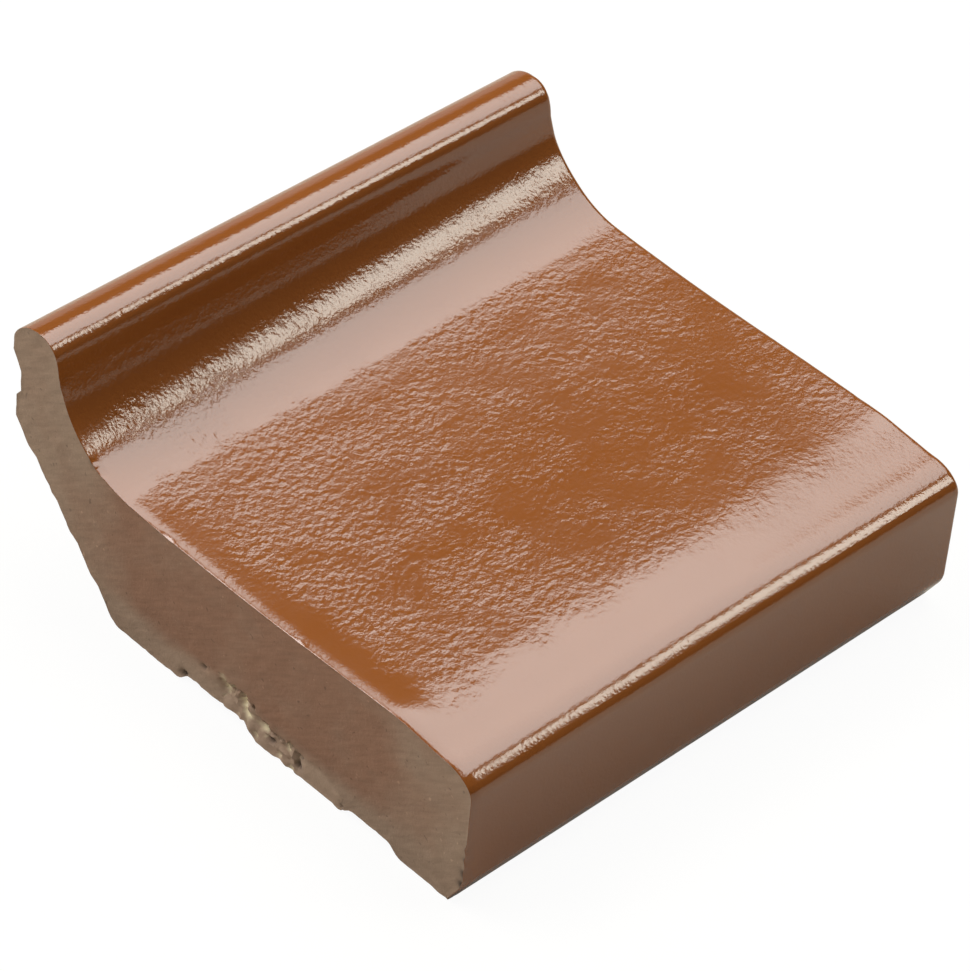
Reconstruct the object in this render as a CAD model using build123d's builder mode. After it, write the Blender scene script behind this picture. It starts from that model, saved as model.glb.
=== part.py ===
"""One-piece glazed clay window sill tile.

A bar of clay with one constant section: a slab with a rounded nose at the front, a shallow dish on
top for the rain, a cove that turns up into a lip against the window frame, a ridged slant at the
back and mortar grooves underneath. It is cut to length, glazed and fired as one solid.

The tile lies on the soles between its mortar grooves. The origin is under the middle of its box,
+X runs along the wall, +Y points towards the window and +Z points up.
"""

import os
from math import hypot, radians, tan

from build123d import *

# Overall sizes, in millimetres
tile_length = 105.0
tile_depth = 105.0
tile_height = 47.4

# Foot of the front face: a rounded bevel
foot_height = 5.5
foot_inset = 3.2
foot_radius = 5.0

# Top face: from its crown it falls a little to the nose, and dips to a dish before the cove
crown_height = 28.8
crown_inset = 14.5
crown_radius = 90.0
nose_fall = 1.0
nose_radius = 6.8
dish_depth = 1.7
dish_radius = 400.0

# Cove and lip, with the run and rise from the dish to the cove and the lean of the upstand in degrees
cove_run = 35.6
cove_rise = 1.0
cove_radius = 17.0
upstand_lean = 19.0
lip_thickness = 9.7
lip_front_radius = 4.0
lip_top_flat = 0.4
lip_back_flat = 0.4

# Back of the tile, down from the lip: a slope in to a small rebate, a step and an upright shoulder
rebate_depth = 2.0
rebate_slope = 3.8
rebate_height = 4.0
shoulder_inset = 1.0
shoulder_step = 1.4
shoulder_height = 4.4

# Slanted back with its row of fine key ridges
slant_foot_inset = 26.4
ridge_count = 5
ridge_face = 2.1
ridge_height = 0.6

# Mortar grooves in the underside, with slanted walls
front_groove_inset = 20.9
front_groove_floor = 8.4
back_groove_inset = 55.6
back_groove_floor = 12.7
groove_wall = 2.4
groove_depth = 2.0
groove_radius = 1.0

# Rounded arris of the glaze at the two ends of the tile
left_arris = 0.5
right_arris = 1.4

# Two lines closer than this lie on each other
contact_gap = 0.01

front = -tile_depth / 2
back = tile_depth / 2
nose_height = crown_height - nose_fall
dish_height = crown_height - dish_depth
cove_height = dish_height + cove_rise
lip_front = back - lip_thickness
cove_corner = lip_front - (tile_height - cove_height) * tan(radians(upstand_lean))
lip_front_reach = lip_front_radius / tan(radians(90 + upstand_lean) / 2)
lip_back_radius = lip_thickness - lip_front_reach - lip_top_flat
lip_back_foot = tile_height - lip_back_radius - lip_back_flat
rebate = back - rebate_depth
rebate_top = lip_back_foot - rebate_slope
rebate_foot = rebate_top - rebate_height
shoulder = back - shoulder_inset
shoulder_top = rebate_foot - shoulder_step
shoulder_foot = shoulder_top - shoulder_height
slant_foot = back - slant_foot_inset


def slant_points():
    """Outline of the slanted back from its foot to the shoulder: a root and a tip for each ridge."""
    run = shoulder - slant_foot
    slant = hypot(run, shoulder_foot)
    along = Vector(run, shoulder_foot) / slant
    outward = Vector(shoulder_foot, -run) / slant
    start = Vector(slant_foot, 0)
    points = []
    for ridge in range(ridge_count):
        root = start + along * (slant / ridge_count * ridge)
        points.append(root)
        points.append(root + along * ridge_face + outward * ridge_height)
    return points + [Vector(shoulder, shoulder_foot)]


def groove_points(inset, floor):
    """Outline of one mortar groove from front to back, its middle that far behind the front face."""
    middle = front + inset
    mouth = floor / 2 + groove_wall
    return [
        (middle - mouth, 0),
        (middle - floor / 2, groove_depth),
        (middle + floor / 2, groove_depth),
        (middle + mouth, 0),
    ]


def is_glazed(edge):
    """True for an edge of an end face that lies on the glazed run of the section."""
    middle = edge.center()
    return glazed_run.line.distance_to((middle.Y, middle.Z)) < contact_gap


# Glazed run of the section, from the foot of the front face over the top to the back of the lip
with BuildLine() as glazed_run:
    FilletPolyline(
        (front + foot_inset, 0),
        (front, foot_height),
        (front, nose_height),
        (front + crown_inset, crown_height),
        (cove_corner - cove_run, dish_height),
        (cove_corner, cove_height),
        (lip_front, tile_height),
        (back, tile_height),
        (back, lip_back_foot),
        radius=[
            foot_radius,
            nose_radius,
            crown_radius,
            dish_radius,
            cove_radius,
            lip_front_radius,
            lip_back_radius,
        ],
    )

with BuildPart() as sill_tile:
    with BuildSketch(Plane.YZ.offset(-tile_length / 2)):
        with BuildLine():
            add(glazed_run.line)
            Polyline(
                (back, lip_back_foot),
                (rebate, rebate_top),
                (rebate, rebate_foot),
                (shoulder, shoulder_top),
                *reversed(slant_points()),
            )
            FilletPolyline(
                (front + foot_inset, 0),
                *groove_points(front_groove_inset, front_groove_floor),
                *groove_points(back_groove_inset, back_groove_floor),
                (slant_foot, 0),
                radius=groove_radius,
            )
        make_face()
    extrude(amount=tile_length)

    # The glaze rounds off the ends of its own run and leaves the bare edges sharp
    for side, arris in ((0, left_arris), (-1, right_arris)):
        end_face = sill_tile.faces().filter_by(Axis.X).sort_by(Axis.X)[side]
        fillet(end_face.edges().filter_by(is_glazed), radius=arris)

sill_tile.part.label = "sill_tile"
os.makedirs("parts", exist_ok=True)
export_step(sill_tile.part, "parts/sill_tile.step")
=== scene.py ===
"""Looks of a glazed clay window sill tile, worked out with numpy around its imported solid.

The tile is one closed surface: its section is carried along X and closed by a patch at each end. The
rounded glaze edges, the drooping lip and the breaks along the lower left edge are in the mesh, and the
finest relief of the glaze and the clay is bump. Lengths are in millimetres until a mesh is written.
"""

from math import cos, pi, radians, sin, tan

import bpy
import numpy as np
from mathutils import Matrix, Vector


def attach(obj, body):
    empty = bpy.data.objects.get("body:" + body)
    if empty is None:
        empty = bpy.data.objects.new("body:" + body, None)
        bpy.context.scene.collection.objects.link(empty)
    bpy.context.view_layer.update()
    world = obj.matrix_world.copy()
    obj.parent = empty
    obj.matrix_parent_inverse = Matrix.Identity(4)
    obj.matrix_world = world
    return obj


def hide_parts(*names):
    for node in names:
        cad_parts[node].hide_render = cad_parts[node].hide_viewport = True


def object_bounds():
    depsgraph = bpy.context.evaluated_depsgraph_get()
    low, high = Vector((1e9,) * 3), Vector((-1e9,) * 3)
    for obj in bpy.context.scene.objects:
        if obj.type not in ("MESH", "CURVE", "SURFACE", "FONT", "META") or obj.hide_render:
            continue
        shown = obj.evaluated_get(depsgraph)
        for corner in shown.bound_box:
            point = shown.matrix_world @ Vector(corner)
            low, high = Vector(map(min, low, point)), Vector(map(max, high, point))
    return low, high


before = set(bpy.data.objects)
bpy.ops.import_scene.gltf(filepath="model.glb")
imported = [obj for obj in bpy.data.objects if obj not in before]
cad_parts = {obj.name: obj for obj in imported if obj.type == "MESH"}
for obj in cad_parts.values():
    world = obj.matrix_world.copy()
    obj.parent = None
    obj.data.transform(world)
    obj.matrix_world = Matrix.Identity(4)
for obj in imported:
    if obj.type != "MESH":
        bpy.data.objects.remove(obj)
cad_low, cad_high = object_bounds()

MM = 0.001

# Box of the solid, in millimetres
LEFT, FRONT, SOLE = (value / MM for value in cad_low)
RIGHT, BACK, LIP_TOP = (value / MM for value in cad_high)

# Section of the glazed tile: foot, nose, crown, dish, cove, upstand, lip. It keeps inside the solid's box
FOOT_HEIGHT, FOOT_INSET, FOOT_RADIUS = 5.5, 3.2, 5.0
CROWN_HEIGHT, CROWN_INSET, CROWN_RADIUS = 28.8, 14.5, 90.0
NOSE_FALL, NOSE_TILT, NOSE_FLAT = 1.0, 46.0, 0.1
NOSE_TOP_RADIUS, NOSE_FRONT_RADIUS, FRONT_INSET = 7.5, 3.6, 0.3
DISH_DEPTH, DISH_RADIUS = 1.7, 400.0
COVE_RUN, COVE_RISE, COVE_RADIUS, UPSTAND_LEAN = 35.6, 1.0, 17.0, 19.0
LIP_THICKNESS, LIP_FRONT_RADIUS, LIP_TOP_FLAT, LIP_BACK_FLAT = 9.4, 4.0, 0.4, 0.4
REBATE_DEPTH, REBATE_SLOPE, REBATE_HEIGHT = 2.0, 3.8, 4.0
SHOULDER_INSET, SHOULDER_STEP, SHOULDER_HEIGHT = 1.0, 1.4, 4.4
SLANT_FOOT_INSET, RIDGE_COUNT, RIDGE_FACE, RIDGE_HEIGHT = 26.4, 5, 2.1, 0.6
GROOVES = ((20.9, 8.4), (55.6, 12.7))
GROOVE_WALL, GROOVE_DEPTH, GROOVE_RADIUS = 2.4, 2.0, 1.0
LEFT_ARRIS, RIGHT_ARRIS = 0.05, 0.8

# The lip droops towards the right end, from the height where the droop begins
LIP_DROOP = 1.9
DROOP_FROM, DROOP_FULL = 29.5, 41.5

# The dish sags a little towards the cove: where the sag begins and is full behind the front, and the
# height up the upstand from which it runs out to the lip
SAG_FROM, SAG_FULL, SAG_DEPTH, SAG_RUNS_OUT = 45.0, 73.0, 0.3, 42.0

# How the glaze settled in the kiln: it rolls over at the left end with a low bead behind the roll, curls
# up at the right end along the crown, sinks into a shallow hollow on the left of the crown, and falls
# away to the nose at the right end
ROLL_WIDTH, ROLL_FALL, ROLL_FULL, ROLL_TO = 2.0, 0.29, 70.0, 80.0
BEAD_PLACE, BEAD_WIDTH, BEAD_HEIGHT = 2.6, 3.0, 0.03
CURL_WIDTH, CURL_HEIGHT, CURL_FROM, CURL_TO = 14.0, 0.24, 12.0, 66.0
HOLLOW_DEEPEST, HOLLOW_TO, HOLLOW_DEPTH = 8.0, 52.0, 0.45
FALL_FROM, FALL_TO, FALL_DEPTH = 60.0, 44.0, 0.6

# Mesh stations: along the top and the soles, up the front and the back, and along the tile
RUN_STATIONS, RISE_STATIONS, LENGTH_STATIONS = 200, 60, 112
LEFT_ARRIS_STATIONS, RIGHT_ARRIS_STATIONS = 6, 8

# Wear along the lower left edge: distance behind the front, height up the end where the wear begins, how
# far the clay has gone back along the tile at the sole, and how much paler it is there. The paler tone is
# worn clay and also painted light, standing in for the different light on the down-facing worn facet
EDGE_WEAR = (
    (0.0, 3.0, 0.1, 0.3),
    (2.4, 1.2, 0.1, 0.2),
    (4.2, 1.4, 0.25, 0.4),
    (5.4, 2.4, 0.1, 0.5),
    (7.5, 3.2, 0.25, 0.5),
    (12.0, 3.1, 0.2, 0.4),
    (14.4, 2.3, 0.2, 0.3),
    (15.5, 0.3, 0.0, 0.0),
    (26.5, 0.3, 0.0, 0.3),
    (27.5, 3.7, 0.2, 0.8),
    (31.5, 5.4, 0.35, 1.0),
    (36.3, 5.2, 0.3, 1.0),
    (38.0, 5.2, 0.1, 0.7),
    (43.9, 5.3, 0.0, 0.5),
    (46.4, 6.1, 0.0, 0.5),
    (48.6, 7.7, 0.0, 0.6),
    (52.7, 7.9, 0.0, 0.5),
    (58.5, 8.2, 0.05, 0.4),
    (63.1, 6.9, 0.1, 0.45),
    (67.9, 4.7, 0.1, 0.4),
    (75.8, 1.6, 0.15, 0.2),
    (79.0, 0.2, 0.2, 0.0),
    (81.0, 0.0, 0.0, 0.0),
)
WEAR_REACH = 10.0

# Stretch of that edge where clay was torn out: its ends, the depth of its hollow and of its roughness
TORN_FROM, TORN_TO, TORN_HOLLOW, TORN_RELIEF = 36.4, 57.0, 1.1, 0.35

# Pits and pale crumbs in the worn edge, and nicks in the rim of the glaze: behind the front, height, radius.
# The pits and the nicks are coloured dark: painted shade in these small hollows, with some dirt
PITS = (
    (26.6, 1.5, 0.7),
    (37.0, 4.4, 0.8),
    (37.2, 2.0, 0.7),
    (43.4, 2.6, 0.6),
    (46.4, 5.8, 0.6),
    (47.6, 6.7, 0.6),
    (48.8, 7.5, 0.5),
    (58.9, 6.8, 0.5),
    (63.3, 1.8, 0.7),
)
CRUMBS = (
    (39.3, 4.0, 0.8),
    (44.7, 3.7, 0.9),
    (48.6, 4.2, 1.3),
    (49.8, 5.8, 1.0),
    (53.4, 6.6, 0.9),
    (54.4, 7.2, 0.8),
)
NICKS = (
    (0.2, 13.0, 0.8),
    (0.5, 10.8, 0.7),
    (0.7, 8.0, 0.9),
    (0.9, 5.6, 0.9),
    (83.7, 29.1, 0.5),
    (84.6, 29.6, 0.5),
    (85.8, 30.1, 0.6),
    (92.2, 39.6, 0.5),
    (93.0, 40.5, 0.5),
)
PIT_DEPTH, NICK_DEPTH, NICK_REACH = 0.8, 0.3, 1.5

# Wear of every end edge, how far along the tile it reaches, and the fine relief of glaze and clay, which
# goes inward from the section by up to twice the limit times its strength
EDGE_REACH, GLAZE_NICK, CLAY_WEAR, CLAY_NICK = 1.2, 0.1, 0.08, 0.5
GLAZE_RELIEF, DRAG_RELIEF, WIRE_RELIEF, RELIEF_LIMIT = 0.005, 0.03, 0.03, 2.5

# Camera: where it stands, what it looks along, and its lens for an image 970 pixels wide
CAMERA_PLACE = (-473.28, -438.99, 611.75)
VIEW_AZIMUTH, VIEW_ELEVATION, VIEW_ROLL = 47.15, 42.58, 5.45
SENSOR_WIDTH, FOCAL_PIXELS, IMAGE_WIDTH = 36.0, 5607.0, 970


def linear(hex_colour):
    """Linear RGBA of an sRGB hex colour: each channel through the sRGB curve, alpha 1."""
    channels = np.array([int(hex_colour[i : i + 2], 16) for i in (1, 3, 5)]) / 255
    curve = np.where(channels <= 0.04045, channels / 12.92, ((channels + 0.055) / 1.055) ** 2.4)
    return (*curve.tolist(), 1.0)


def ease(value, start, end):
    """Smooth step: 0 at start, 1 at end, and 3 t squared less 2 t cubed between them."""
    t = np.clip((value - start) / (end - start), 0, 1)
    return t * t * (3 - 2 * t)


def spots(y, z, table):
    """Soft round spots on the end in (y, z): exp(-(distance / radius) squared), summed over the table's
    rows of distance behind the front, height and radius, and at most 1."""
    behind, height, radius = np.array(table).T
    square = (y[..., None] - FRONT - behind) ** 2 + (z[..., None] - SOLE - height) ** 2
    return np.minimum(np.exp(-square / radius**2).sum(-1), 1)


def plane_waves(points, shortest, longest, count, seed):
    """Smooth relief of about unit strength: a sum of sine waves with random directions, phases and
    wavelengths between the shortest and the longest, in millimetres, over its root mean square."""
    draw = np.random.default_rng(seed)
    heading = draw.normal(size=(count, 3))
    heading /= np.linalg.norm(heading, axis=1, keepdims=True)
    pace = 2 * pi / draw.uniform(shortest, longest, count)
    phase = draw.uniform(0, 2 * pi, count)
    return np.sin(points @ (heading * pace[:, None]).T + phase).sum(-1) / np.sqrt(count / 2)


def rounded_pieces(corners, radii):
    """Pieces of a run of straight lines whose corners are rounded: a straight, an arc, a straight and so
    on, each as points. An arc touches both its lines at radius / tan(half the corner's angle)."""
    corners = np.asarray(corners, float)
    pieces = []
    start = corners[0]
    for before, corner, after, radius in zip(corners, corners[1:], corners[2:], radii):
        to_before = (before - corner) / np.linalg.norm(before - corner)
        to_after = (after - corner) / np.linalg.norm(after - corner)
        half = np.arccos(np.clip(to_before @ to_after, -1, 1)) / 2
        if radius == 0:
            pieces.append(np.stack([start, corner]))
            start = corner
            continue
        reach = radius / tan(half)
        bisector = (to_before + to_after) / np.linalg.norm(to_before + to_after)
        centre = corner + bisector * radius / sin(half)
        first, last = corner + to_before * reach, corner + to_after * reach
        turn_from = np.arctan2(*(first - centre)[::-1])
        turn = np.arctan2(*(last - centre)[::-1]) - turn_from
        turn = (turn + pi) % (2 * pi) - pi
        angles = turn_from + turn * np.linspace(0, 1, 48)
        pieces.append(np.stack([start, first]))
        pieces.append(centre + radius * np.stack([np.cos(angles), np.sin(angles)], 1))
        start = last
    return pieces + [np.stack([start, corners[-1]])]


def stations(pieces, count, finer=1.0):
    """count + 1 points along a run of pieces that keep every corner: each piece gets a share of the
    steps by its length, curved pieces finer by that factor, and the longest piece takes what is left."""
    lengths = np.array([np.linalg.norm(np.diff(p, axis=0), axis=1).sum() for p in pieces])
    shares = lengths * np.where([len(p) > 2 for p in pieces], finer, 1.0)
    steps = np.maximum(1, np.floor(count * shares / shares.sum())).astype(int)
    steps[np.argmax(shares)] += count - steps.sum()
    points = []
    for piece, number in zip(pieces, steps):
        travel = np.r_[0, np.linalg.norm(np.diff(piece, axis=0), axis=1).cumsum()]
        at = np.linspace(0, travel[-1], number, endpoint=False)
        points.append(np.stack([np.interp(at, travel, piece[:, axis]) for axis in (0, 1)], 1))
    return np.vstack(points + [pieces[-1][-1:]])


def section_sides():
    """The four sides of the section in (y, z): the soles with the ridged slant from front to back, the
    back from the shoulder up, the top from the nose to the lip, and the front from the foot up."""
    face = FRONT + FRONT_INSET
    tilt, lean = radians(NOSE_TILT), np.arctan2(NOSE_FALL, CROWN_INSET)
    bevel = NOSE_TOP_RADIUS * tan((tilt - lean) / 2) + NOSE_FLAT
    bevel += NOSE_FRONT_RADIUS * tan((pi / 2 - tilt) / 2)
    nose = FRONT_INSET + bevel * cos(tilt)
    nose_height = CROWN_HEIGHT - NOSE_FALL * (1 - nose / CROWN_INSET)
    dish_height = CROWN_HEIGHT - DISH_DEPTH
    cove_height = dish_height + COVE_RISE
    lip_front = BACK - LIP_THICKNESS
    cove_corner = lip_front - (LIP_TOP - cove_height) * tan(radians(UPSTAND_LEAN))
    lip_reach = LIP_FRONT_RADIUS / tan(radians(90 + UPSTAND_LEAN) / 2)
    lip_back_radius = LIP_THICKNESS - lip_reach - LIP_TOP_FLAT
    lip_back_foot = LIP_TOP - lip_back_radius - LIP_BACK_FLAT
    rebate_top = lip_back_foot - REBATE_SLOPE
    rebate_foot = rebate_top - REBATE_HEIGHT
    shoulder = BACK - SHOULDER_INSET
    shoulder_top = rebate_foot - SHOULDER_STEP
    shoulder_foot = shoulder_top - SHOULDER_HEIGHT
    slant_foot = BACK - SLANT_FOOT_INSET

    glazed = rounded_pieces(
        [
            (face + FOOT_INSET, SOLE),
            (face, FOOT_HEIGHT),
            (face, nose_height - bevel * sin(tilt)),
            (FRONT + nose, nose_height),
            (FRONT + CROWN_INSET, CROWN_HEIGHT),
            (cove_corner - COVE_RUN, dish_height),
            (cove_corner, cove_height),
            (lip_front, LIP_TOP),
            (BACK, LIP_TOP),
            (BACK, lip_back_foot),
        ],
        (
            FOOT_RADIUS,
            NOSE_FRONT_RADIUS,
            NOSE_TOP_RADIUS,
            CROWN_RADIUS,
            DISH_RADIUS,
            COVE_RADIUS,
            LIP_FRONT_RADIUS,
            lip_back_radius,
        ),
    )
    front_pieces, top_pieces, lip_back_pieces = glazed[:3], glazed[3:15], glazed[15:]

    grooves = []
    for inset, floor in GROOVES:
        middle, mouth = FRONT + inset, floor / 2 + GROOVE_WALL
        grooves += [(middle - mouth, SOLE), (middle - floor / 2, SOLE + GROOVE_DEPTH)]
        grooves += [(middle + floor / 2, SOLE + GROOVE_DEPTH), (middle + mouth, SOLE)]
    slant = np.array([shoulder - slant_foot, shoulder_foot - SOLE])
    along = slant / np.linalg.norm(slant)
    outward = np.array([along[1], -along[0]])
    ridges = []
    for share in np.arange(RIDGE_COUNT) / RIDGE_COUNT:
        root = np.array([slant_foot, SOLE]) + slant * share
        ridges += [root, root + along * RIDGE_FACE + outward * RIDGE_HEIGHT]
    under_corners = [(face + FOOT_INSET, SOLE), *grooves, *ridges, (shoulder, shoulder_foot)]
    under_radii = [GROOVE_RADIUS] * len(grooves) + [0.0] * len(ridges)
    under_pieces = rounded_pieces(under_corners, under_radii)

    back_corners = [
        (shoulder, shoulder_foot),
        (shoulder, shoulder_top),
        (BACK - REBATE_DEPTH, rebate_foot),
        (BACK - REBATE_DEPTH, rebate_top),
        (BACK, lip_back_foot),
    ]
    back_pieces = rounded_pieces(back_corners, (0.0, 0.0, 0.0))
    back_pieces += [piece[::-1] for piece in reversed(lip_back_pieces)]

    under = stations(under_pieces, RUN_STATIONS)
    back = stations(back_pieces, RISE_STATIONS)
    top = stations(top_pieces, RUN_STATIONS, finer=1.9)
    front = stations(front_pieces, RISE_STATIONS, finer=1.5)
    return under, back, top, front, lip_back_foot


def length_stations():
    """Places along X and how far round the end arris each one lies, from 0 to a quarter turn: the arris
    angles in even steps at both ends, and between them steps that widen away from the ends."""
    left_turn = np.linspace(pi / 2, 0, LEFT_ARRIS_STATIONS + 1)
    right_turn = np.linspace(0, pi / 2, RIGHT_ARRIS_STATIONS + 1)
    left_x = LEFT + LEFT_ARRIS * (1 - np.sin(left_turn))
    right_x = RIGHT - RIGHT_ARRIS * (1 - np.sin(right_turn))
    share = np.linspace(0, 1, LENGTH_STATIONS + 1)[1:-1]
    eased = share - 0.72 * np.sin(2 * pi * share) / (2 * pi)
    middle_x = left_x[-1] + (right_x[0] - left_x[-1]) * eased
    x = np.r_[left_x, middle_x, right_x]
    none = np.zeros(len(middle_x))
    left_round = np.r_[LEFT_ARRIS * (1 - np.cos(left_turn)), none, 0 * right_turn]
    right_round = np.r_[0 * left_turn, none, RIGHT_ARRIS * (1 - np.cos(right_turn))]
    return x, left_round + right_round


def ring_normals(ring):
    """Outward unit normals of a closed ring in (y, z): its chord from point before to point after,
    turned a quarter turn to the right."""
    chord = np.roll(ring, -1, 0) - np.roll(ring, 1, 0)
    normal = np.stack([chord[:, 1], -chord[:, 0]], 1)
    return normal / np.linalg.norm(normal, axis=1, keepdims=True)


def worn_edge(y, z):
    """How far the left end has worn back along X at (y, z), and its marks there: pale, crumb, pit. The pale
    mark is worn clay made lighter still as painted light on the worn facet, and the pit mark is painted shade
    darkening the pits and the nicks in the glaze rim, with some dirt. The share runs from 0 at the top of
    the wear to 1 at the sole. The end leans back in proportion to it; where clay was torn out a hollow falls
    steeply from the top of the wear and runs out to the sole."""
    behind, height, depth, pale = np.array(EDGE_WEAR).T
    from_front = y - FRONT
    rough = plane_waves(np.stack([0 * y, y, z], -1), 0.9, 3.0, 40, seed=11)
    torn = ease(from_front, TORN_FROM, TORN_FROM + 1) * ease(from_front, TORN_TO, TORN_TO - 3)
    tall = np.interp(from_front, behind, height) + 0.4 * torn * rough
    share = np.clip(1 - (z - SOLE) / np.maximum(tall, 0.05), 0, 1)
    inside = np.clip(share * 6, 0, 1)
    pits = spots(y, z, PITS) * inside
    hollow = TORN_HOLLOW * inside * (1 - share) ** 1.5 + TORN_RELIEF * inside * (1 - 0.7 * share) * rough
    gone = share * np.interp(from_front, behind, depth) + torn * np.maximum(hollow, 0) + PIT_DEPTH * pits
    crumbs = np.clip(spots(y, z, CRUMBS) * (1 + 0.5 * rough) + 0.4 * torn * inside * (rough - 1.0), 0, 1)
    # Paler where worn: worn clay, and also painted light for the lighter look of the worn facet
    paler = inside * np.interp(from_front, behind, pale) * (1 - 0.3 * torn * np.clip(rough, -1, 1))
    # The third mark is painted shade: it darkens the pits and the nicks in the glaze rim, with some dirt
    return gone, np.stack([paler, crumbs, np.maximum(pits, spots(y, z, NICKS))], -1)


def red_core(y, z):
    """How red the cut clay is at (y, z): 1 in the body of the tile, 0 by the sole and up the back."""
    return ease(z, SOLE + 3, SOLE + 9) * ease(y - FRONT, 94, 76) * ease(y - FRONT, 2, 24)


def settled_glaze(x, from_front):
    """How far the glaze stands out over the top at (x, distance behind the front): a bead along the left
    end, exp(-(distance / width) squared), and a curl at the right end that rises with the square of the
    way to it, less a broad shallow hollow on the left of the crown and a fall to the nose at the right
    end, both growing with the square of the way forward."""
    over_top = ease(from_front, 13, 19) * ease(from_front, 74, 66)
    bead = BEAD_HEIGHT * np.exp(-(((x - LEFT - BEAD_PLACE) / BEAD_WIDTH) ** 2)) * over_top
    along_crown = ease(from_front, CURL_FROM, CURL_FROM + 6) * ease(from_front, CURL_TO, CURL_TO - 30)
    curl = CURL_HEIGHT * np.clip(1 - (RIGHT - x) / CURL_WIDTH, 0, 1) ** 2 * along_crown
    rising = np.clip((HOLLOW_TO - from_front) / (HOLLOW_TO - HOLLOW_DEEPEST), 0, 1) ** 2
    hollow = HOLLOW_DEPTH * rising * ease(from_front, 0, HOLLOW_DEEPEST)
    falling = np.clip((FALL_TO - from_front) / (FALL_TO - HOLLOW_DEEPEST), 0, 1) ** 2
    fall = FALL_DEPTH * falling * ease(from_front, 0, HOLLOW_DEEPEST) * ease(x, RIGHT - FALL_FROM, RIGHT)
    by_left_end = 1 - ease(x, LEFT + 8, LEFT + 2) * ease(from_front, 8, 18)
    return bead + curl - fall - hollow * by_left_end * ease(x, 0.25 * RIGHT, 0.6 * LEFT)


def coons_patch(under, back, top, front):
    """Points inside four sides: the surface ruled from under to top, plus the surface ruled from front
    to back, less the bilinear patch through the four corners."""
    u = np.linspace(0, 1, len(under))[:, None, None]
    v = np.linspace(0, 1, len(front))[None, :, None]
    across = (1 - v) * under[:, None] + v * top[:, None]
    along = (1 - u) * front[None] + u * back[None]
    low = (1 - u) * under[0] + u * under[-1]
    high = (1 - u) * top[0] + u * top[-1]
    return across + along - (1 - v) * low - v * high


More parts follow.
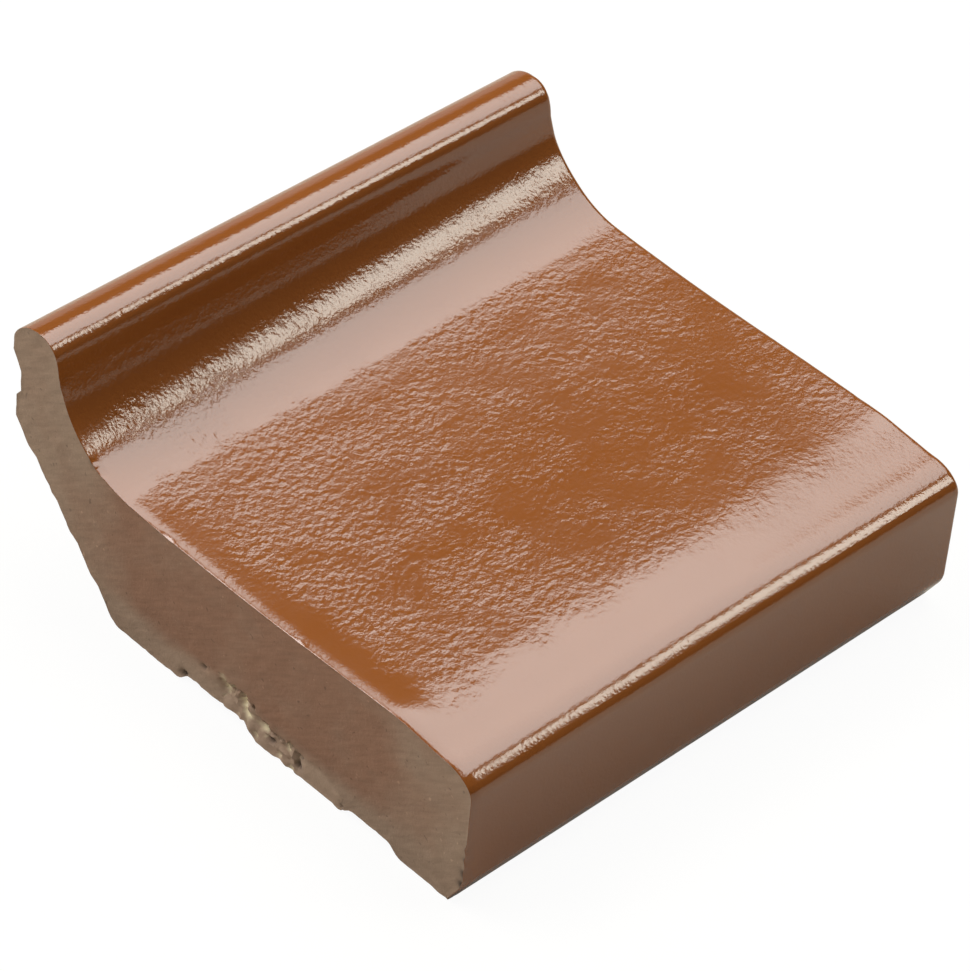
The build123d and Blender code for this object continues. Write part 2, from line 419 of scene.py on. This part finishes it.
def tile_surface():
    """Vertices, quads, finish of each quad, vertex marks and redness of the whole tile. The section's ring is
    carried along X; near each end it is drawn in along its normal by the arris, radius times
    (1 - cos(turn)); relief goes inward; each end is a Coons patch inside the last ring."""
    under, back, top, front, lip_back_foot = section_sides()
    runs, rises = len(under) - 1, len(back) - 1
    ring = np.vstack([under[:-1], back[:-1], top[:0:-1], front[:0:-1]])
    normal = ring_normals(ring)
    number = np.arange(len(ring))
    glazed = (number >= runs) & ((number >= runs + rises) | (ring[:, 1] >= lip_back_foot - 0.01))
    x, arris = length_stations()

    shape = (len(x), len(ring))
    grid = np.empty((*shape, 3))
    grid[..., 0] = x[:, None]
    grid[..., 1:] = ring
    from_left = (x - LEFT)[:, None]
    from_ends = np.minimum(from_left, (RIGHT - x)[:, None])
    nicks = np.clip(plane_waves(grid, 2.5, 7.0, 40, seed=3) - 1.3, 0, 1)
    worn = np.clip(1 - from_ends / EDGE_REACH, 0, 1) ** 2
    roll = ROLL_FALL * np.clip(1 - from_left / ROLL_WIDTH, 0, 1) ** 2
    roll = roll * ease(ring[:, 0] - FRONT, ROLL_TO, ROLL_FULL)
    chipped = NICK_DEPTH * spots(ring[:, 0], ring[:, 1], NICKS) * np.clip(1 - from_left / NICK_REACH, 0, 1)
    glaze_in = arris[:, None] + roll + chipped + GLAZE_NICK * worn * nicks
    drawn_in = np.where(glazed, glaze_in, worn * (CLAY_WEAR + CLAY_NICK * nicks))
    ripple = plane_waves(grid, 5.0, 12.0, 60, seed=5)
    drag = plane_waves(grid * (0.15, 1, 1), 1.2, 4.0, 60, seed=7)
    sag = SAG_DEPTH * np.interp(ring[:, 0] - FRONT, [SAG_FROM, SAG_FULL], [0, 1]) ** 2
    sag *= glazed * np.interp(ring[:, 1], [SAG_RUNS_OUT, LIP_TOP - LIP_FRONT_RADIUS], [1, 0])
    upward = glazed & (normal[:, 1] > 0.5)
    settled = np.where(upward, settled_glaze(x[:, None], ring[:, 0] - FRONT), 0)
    rippled = GLAZE_RELIEF * (RELIEF_LIMIT + np.clip(ripple, -RELIEF_LIMIT, RELIEF_LIMIT))
    dragged = DRAG_RELIEF * (RELIEF_LIMIT + np.clip(drag, -RELIEF_LIMIT, RELIEF_LIMIT))
    relief = np.where(glazed, rippled, dragged)
    grid[..., 1:] -= (drawn_in + relief + sag - settled)[..., None] * normal

    droop = ease(grid[..., 2], DROOP_FROM, DROOP_FULL)
    grid[..., 2] -= LIP_DROOP * droop * from_left / (RIGHT - LEFT)
    near_left = np.clip(1 - from_left / WEAR_REACH, 0, 1)
    worn_back, ring_marks = worn_edge(grid[..., 1], grid[..., 2])
    grid[..., 0] += worn_back * near_left

    rim = np.empty((runs + 1, rises + 1), int)
    rim[:, 0] = number[: runs + 1]
    rim[-1, :] = number[runs : runs + rises + 1]
    rim[::-1, -1] = number[runs + rises : 2 * runs + rises + 1]
    rim[0, ::-1] = np.r_[number[2 * runs + rises :], 0]
    points, quads, finishes = [grid.reshape(-1, 3)], [], []
    here = np.arange(len(x) - 1)[:, None] * len(ring) + number
    there = np.arange(len(x) - 1)[:, None] * len(ring) + np.roll(number, -1)
    quads.append(np.stack([here, there, there + len(ring), here + len(ring)], -1).reshape(-1, 4))
    both_glazed = glazed & np.roll(glazed, -1)
    finishes.append(np.broadcast_to(np.where(both_glazed, 0, 1), here.shape).ravel())

    marks = [(ring_marks * near_left[..., None]).reshape(-1, 3)]
    cores = [red_core(grid[..., 1], grid[..., 2]).ravel()]
    count = grid.shape[0] * grid.shape[1]
    for side, offset in ((-1, 0), (1, (len(x) - 1) * len(ring))):
        last = grid[0 if side < 0 else -1, :, 1:]
        patch = coons_patch(last[rim[:, 0]], last[rim[-1, :]], last[rim[:, -1]], last[rim[0, :]])
        inner = patch[1:-1, 1:-1].reshape(-1, 2)
        place = np.column_stack([np.full(len(inner), LEFT if side < 0 else RIGHT), inner])
        wire = plane_waves(place, 1.0, 4.0, 60, seed=13 + side)
        recess = WIRE_RELIEF * (RELIEF_LIMIT + np.clip(wire, -RELIEF_LIMIT, RELIEF_LIMIT))
        gone, end_marks = worn_edge(inner[:, 0], inner[:, 1])
        on_left = float(side < 0)
        place[:, 0] -= side * (recess + on_left * gone)
        index = rim + offset
        index[1:-1, 1:-1] = count + np.arange(len(inner)).reshape(runs - 1, rises - 1)
        corners = [index[:-1, :-1], index[1:, :-1], index[1:, 1:], index[:-1, 1:]]
        order = corners if side > 0 else corners[::-1]
        quads.append(np.stack(order, -1).reshape(-1, 4))
        finishes.append(np.full(len(quads[-1]), 2))
        points.append(place)
        marks.append(on_left * end_marks)
        cores.append(red_core(inner[:, 0], inner[:, 1]))
        count += len(inner)

    whole = np.vstack(points), np.vstack(quads), np.concatenate(finishes)
    return *whole, np.vstack(marks), np.concatenate(cores)


def add_node(tree, kind, inputs=None, **settings):
    """Adds a node of that kind, sets its own settings, and fills its inputs: a socket is linked, and
    anything else is the input's constant."""
    made = tree.nodes.new(kind)
    for name, value in settings.items():
        setattr(made, name, value)
    for key, value in (inputs or {}).items():
        if isinstance(value, bpy.types.NodeSocket):
            tree.links.new(value, made.inputs[key])
        else:
            made.inputs[key].default_value = value
    return made


def new_material(name):
    """An empty node material with its output, as (material, tree, output)."""
    material = bpy.data.materials.new(name)
    material.use_nodes = True
    material.node_tree.nodes.clear()
    output = add_node(material.node_tree, "ShaderNodeOutputMaterial")
    return material, material.node_tree, output


def per_metre(size):
    """Texture scale whose pattern repeats about every size millimetres in Object coordinates."""
    return 1 / (size * MM)


def brown_glaze():
    """Brown transparent glaze, poured on and fired glossy: a dark honey brown body colour under a sharp
    mirror skin. Ripples break its reflections into flecks, most on the left of the top and least on the
    nose and the upstand, and a fine peel frays the bright lines on the nose, the cove and the lip."""
    material, tree, output = new_material("brown_glaze")
    place = add_node(tree, "ShaderNodeTexCoord").outputs["Object"]
    cloud = add_node(tree, "ShaderNodeTexNoise", {"Vector": place, "Scale": per_metre(18.0), "Detail": 3.0})
    body = add_node(
        tree,
        "ShaderNodeMix",
        {0: cloud.outputs[0], 6: linear("#8a4f21"), 7: linear("#82481d")},
        data_type="RGBA",
    )
    along, across, above = add_node(tree, "ShaderNodeSeparateXYZ", {0: place}).outputs
    left = add_node(
        tree,
        "ShaderNodeMapRange",
        {0: along, 1: 0.1 * RIGHT * MM, 2: 0.75 * LEFT * MM, 3: 0.42, 4: 1.0},
        interpolation_type="SMOOTHSTEP",
    )
    edge = add_node(
        tree,
        "ShaderNodeMapRange",
        {0: along, 1: (LEFT + 4) * MM, 2: (LEFT + 8) * MM, 3: 0.15, 4: 1.0},
    )
    rippled = add_node(tree, "ShaderNodeMath", {0: left.outputs[0], 1: edge.outputs[0]}, operation="MULTIPLY")
    calm = add_node(tree, "ShaderNodeTexNoise", {"Vector": place, "Scale": per_metre(9.0), "Detail": 1.0})
    flat = add_node(
        tree,
        "ShaderNodeMapRange",
        {0: across, 1: (FRONT + 8) * MM, 2: (FRONT + 17) * MM, 3: 0.12, 4: 1.0},
    )
    low = add_node(
        tree,
        "ShaderNodeMapRange",
        {0: above, 1: 33 * MM, 2: 37 * MM, 3: flat.outputs[0], 4: 0.25},
    )
    calmest = add_node(tree, "ShaderNodeMath", {0: flat.outputs[0], 1: 0.35}, operation="MULTIPLY")
    patchy = add_node(
        tree,
        "ShaderNodeMapRange",
        {0: calm.outputs[0], 1: 0.38, 2: 0.6, 3: calmest.outputs[0], 4: low.outputs[0]},
    )
    strength = add_node(
        tree, "ShaderNodeMath", {0: rippled.outputs[0], 1: patchy.outputs[0]}, operation="MULTIPLY"
    )
    ripple = add_node(tree, "ShaderNodeTexNoise", {"Vector": place, "Scale": per_metre(1.25), "Detail": 4.0})
    waves = add_node(
        tree,
        "ShaderNodeBump",
        {"Height": ripple.outputs[0], "Strength": strength.outputs[0], "Distance": 0.2 * MM},
    )
    nose = add_node(
        tree,
        "ShaderNodeMapRange",
        {0: across, 1: (FRONT + 8) * MM, 2: (FRONT + 5) * MM, 3: 0.25, 4: 0.55},
    )
    steep = add_node(
        tree,
        "ShaderNodeMapRange",
        {0: above, 1: 29.0 * MM, 2: 31.0 * MM, 3: nose.outputs[0], 4: 0.55},
    )
    peel = add_node(tree, "ShaderNodeTexNoise", {"Vector": place, "Scale": per_metre(0.55), "Detail": 2.0})
    skin = add_node(
        tree,
        "ShaderNodeBump",
        {
            "Height": peel.outputs[0],
            "Strength": steep.outputs[0],
            "Distance": 0.06 * MM,
            "Normal": waves.outputs[0],
        },
    )
    shader = add_node(
        tree,
        "ShaderNodeBsdfPrincipled",
        {
            "Base Color": body.outputs[2],
            "Roughness": 0.12,
            "IOR": 1.7,
            "Normal": skin.outputs[0],
        },
    )
    tree.links.new(shader.outputs[0], output.inputs[0])
    return material


def fired_clay(name, turn, stretch):
    """Bare fired clay, matt and dusty: red-brown in the core of a cut and greyer to its rim, with fine
    streaks drawn along the turned and stretched axis, dark pores and pale grit. The marks show as paler
    worn clay, lightened further as painted light on the worn facet, cream crumbs, and dark pits and nicks
    whose darkness is painted shade with some dirt."""
    material, tree, output = new_material(name)
    place = add_node(tree, "ShaderNodeTexCoord").outputs["Object"]
    core = add_node(tree, "ShaderNodeAttribute", attribute_name="core").outputs["Fac"]
    cloud = add_node(tree, "ShaderNodeTexNoise", {"Vector": place, "Scale": per_metre(11.0), "Detail": 4.0})
    patch = add_node(tree, "ShaderNodeMapRange", {0: cloud.outputs[0], 1: 0.3, 2: 0.7, 3: -0.35, 4: 0.25})
    warm = add_node(
        tree, "ShaderNodeMath", {0: core, 1: patch.outputs[0]}, operation="ADD", use_clamp=True
    )
    body = add_node(
        tree,
        "ShaderNodeMix",
        {0: warm.outputs[0], 6: linear("#a28874"), 7: linear("#956f59")},
        data_type="RGBA",
    )
    drawn = add_node(
        tree,
        "ShaderNodeMapping",
        {"Vector": place, "Rotation": turn, "Scale": stretch},
        vector_type="TEXTURE",
    )
    lines = add_node(
        tree, "ShaderNodeTexNoise", {"Vector": drawn.outputs[0], "Scale": per_metre(0.7), "Detail": 3.0}
    )
    tone = add_node(tree, "ShaderNodeMapRange", {0: lines.outputs[0], 1: 0.3, 2: 0.7, 3: 0.91, 4: 1.09})
    pores = add_node(tree, "ShaderNodeTexNoise", {"Vector": place, "Scale": per_metre(1.1), "Detail": 1.0})
    pore = add_node(
        tree, "ShaderNodeMapRange", {0: pores.outputs[0], 1: 0.7, 2: 0.78, 3: tone.outputs[0], 4: 0.7}
    )
    speck = add_node(
        tree, "ShaderNodeMapRange", {0: pores.outputs[0], 1: 0.26, 2: 0.2, 3: pore.outputs[0], 4: 1.35}
    )
    streaked = add_node(
        tree,
        "ShaderNodeMix",
        {0: 1.0, 6: body.outputs[2], 7: speck.outputs[0]},
        data_type="RGBA",
        blend_type="MULTIPLY",
    )
    marks = add_node(tree, "ShaderNodeAttribute", attribute_name="marks").outputs["Vector"]
    pale, crumb, pit_and_nick_shade = add_node(tree, "ShaderNodeSeparateXYZ", {0: marks}).outputs
    colour = streaked
    # The pale colour is worn clay plus painted light on the worn facet; the dark colour is painted shade in
    # pits and nicks
    for share, shade in ((pale, "#b59a85"), (crumb, "#f4e4c0"), (pit_and_nick_shade, "#2c241e")):
        colour = add_node(
            tree, "ShaderNodeMix", {0: share, 6: colour.outputs[2], 7: linear(shade)}, data_type="RGBA"
        )
    grain = add_node(tree, "ShaderNodeTexNoise", {"Vector": place, "Scale": per_metre(0.6), "Detail": 4.0})
    skin = add_node(
        tree,
        "ShaderNodeBump",
        {"Height": grain.outputs[0], "Strength": 0.6, "Distance": 0.14 * MM},
    )
    shader = add_node(
        tree,
        "ShaderNodeBsdfPrincipled",
        {"Base Color": colour.outputs[2], "Roughness": 0.85, "IOR": 1.45, "Normal": skin.outputs[0]},
    )
    tree.links.new(shader.outputs[0], output.inputs[0])
    return material


def sill_tile():
    """The whole tile as one piece that stands for its solid."""
    points, quads, finishes, marks, cores = tile_surface()
    mesh = bpy.data.meshes.new("fired_sill_tile")
    mesh.from_pydata((points * MM).tolist(), [], quads.tolist())
    mesh.materials.append(brown_glaze())
    mesh.materials.append(fired_clay("extruded_clay", (0.0, 0.0, 0.0), (9.0, 1.0, 1.0)))
    mesh.materials.append(fired_clay("wire_cut_clay", (radians(-37), 0.0, 0.0), (1.0, 9.0, 1.0)))
    mesh.polygons.foreach_set("material_index", finishes.astype(np.int32))
    mesh.attributes.new("core", "FLOAT", "POINT").data.foreach_set("value", cores.astype(np.float32))
    mark_layer = mesh.attributes.new("marks", "FLOAT_VECTOR", "POINT")
    mark_layer.data.foreach_set("vector", marks.astype(np.float32).ravel())
    mesh.set_sharp_from_angle(angle=radians(32))
    mesh.update()
    piece = bpy.data.objects.new("fired_sill_tile", mesh)
    bpy.context.scene.collection.objects.link(piece)
    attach(piece, "root")
    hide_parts("sill_tile")
    return piece


def floor():
    """Pale floor that the camera sees as near white with the tile's soft shadow on it."""
    half = 6.0
    mesh = bpy.data.meshes.new("floor")
    level = SOLE * MM - 0.00005
    corners = [(-half, -half, level), (half, -half, level), (half, half, level), (-half, half, level)]
    mesh.from_pydata(corners, [], [(0, 1, 2, 3)])
    material, tree, output = new_material("pale_floor")
    paint = add_node(tree, "ShaderNodeBsdfDiffuse", {"Color": linear("#c3beb2")})
    white = add_node(tree, "ShaderNodeEmission", {"Color": linear("#ffffff"), "Strength": 1.05})
    ray = add_node(tree, "ShaderNodeLightPath")
    seen = add_node(
        tree,
        "ShaderNodeMath",
        {0: ray.outputs["Is Camera Ray"], 1: ray.outputs["Is Transmission Ray"]},
        operation="MAXIMUM",
    )
    part = add_node(tree, "ShaderNodeMath", {0: seen.outputs[0], 1: 0.9}, operation="MULTIPLY")
    gloss = add_node(
        tree,
        "ShaderNodeMath",
        {0: ray.outputs["Is Glossy Ray"], 1: 0.06, 2: part.outputs[0]},
        operation="MULTIPLY_ADD",
    )
    mixed = add_node(
        tree,
        "ShaderNodeMixShader",
        {0: gloss.outputs[0], 1: paint.outputs[0], 2: white.outputs[0]},
    )
    tree.links.new(mixed.outputs[0], output.inputs[0])
    mesh.materials.append(material)
    plane = bpy.data.objects.new("floor", mesh)
    bpy.context.scene.collection.objects.link(plane)


def lamp(name, place, size, radiance, colour, aim=None, shape="RECTANGLE", fade=None):
    """A flat lamp of that size in metres: it shines straight down, or at the point aim, and a mirror
    shows it as bright as radiance. Its power is pi times its area times its radiance. Over the share
    fade of its width it dims to its +X edge."""
    light = bpy.data.lights.new(name, "AREA")
    light.shape = shape
    light.size, light.size_y = size
    area = size[0] * size[1] * (pi / 4 if shape == "ELLIPSE" else 1)
    light.energy = pi * area * radiance
    light.color = linear(colour)[:3]
    if fade is not None:
        light.use_nodes = True
        tree = light.node_tree
        across = add_node(tree, "ShaderNodeNewGeometry").outputs["Parametric"]
        share = add_node(tree, "ShaderNodeSeparateXYZ", {0: across}).outputs[0]
        dim = add_node(tree, "ShaderNodeMapRange", {0: share, 1: 1.0, 2: 1.0 - fade, 3: 0.0, 4: 1.0})
        tree.links.new(dim.outputs[0], tree.nodes["Emission"].inputs["Strength"])
    made = bpy.data.objects.new(name, light)
    made.location = place
    if aim is not None:
        made.rotation_euler = (Vector(aim) - Vector(place)).to_track_quat("-Z", "Y").to_euler()
    bpy.context.scene.collection.objects.link(made)
    return made


def studio():
    """A wide soft lamp overhead, a smaller bright one to the front right, a bright one at the back left, a
    dim reflector behind, a dim fill from the left, and a dim even room."""
    height = 1.5
    lamp(
        "overhead_softbox",
        (0.53 * height, 0.1225 * height, height),
        (0.9 * height, 1.135 * height),
        4.3,
        "#f6fbfa",
        fade=0.12,
    )
    lamp("front_lamp", (1.14, -1.09, 1.23), (0.4, 0.74), 7.2, "#fffdf0", aim=(0, 0, 0.03), shape="ELLIPSE")
    lamp("back_reflector", (1.2, 2.0, 0.45), (2.6, 0.9), 0.55, "#ffffff", aim=(0, 0, 0.03))
    lamp("back_left_softbox", (-0.72, 1.0, 1.5), (1.3, 0.9), 8.0, "#fffefc", aim=(0, 0, 0.03))
    lamp("left_fill", (-1.9, 0.4, 0.5), (0.9, 0.9), 0.5, "#ffffff", aim=(0, 0, 0.03))
    world = bpy.data.worlds.new("dim_room")
    world.use_nodes = True
    world.node_tree.nodes["Background"].inputs[0].default_value = linear("#ffffff")
    world.node_tree.nodes["Background"].inputs[1].default_value = 0.03
    bpy.context.scene.world = world


def camera():
    """The photo's view: level axes turned by azimuth and elevation, then rolled about the view."""
    azimuth, elevation, roll = radians(VIEW_AZIMUTH), radians(VIEW_ELEVATION), radians(VIEW_ROLL)
    ahead = Vector((sin(azimuth) * cos(elevation), cos(azimuth) * cos(elevation), -sin(elevation)))
    level = Vector((cos(azimuth), -sin(azimuth), 0.0))
    raised = level.cross(ahead)
    right = level * cos(roll) + raised * sin(roll)
    up = right.cross(ahead)
    data = bpy.data.cameras.new("camera")
    data.sensor_fit = "HORIZONTAL"
    data.sensor_width = SENSOR_WIDTH
    data.lens = FOCAL_PIXELS / IMAGE_WIDTH * SENSOR_WIDTH
    data.clip_start, data.clip_end = 0.05, 50.0
    made = bpy.data.objects.new("camera", data)
    turn = Matrix((right, up, -ahead)).transposed().to_4x4()
    made.matrix_world = Matrix.Translation(Vector(CAMERA_PLACE) * MM) @ turn
    bpy.context.scene.collection.objects.link(made)
    bpy.context.scene.camera = made


sill_tile()
floor()
studio()
camera()
bpy.context.scene.view_settings.view_transform = "Standard"
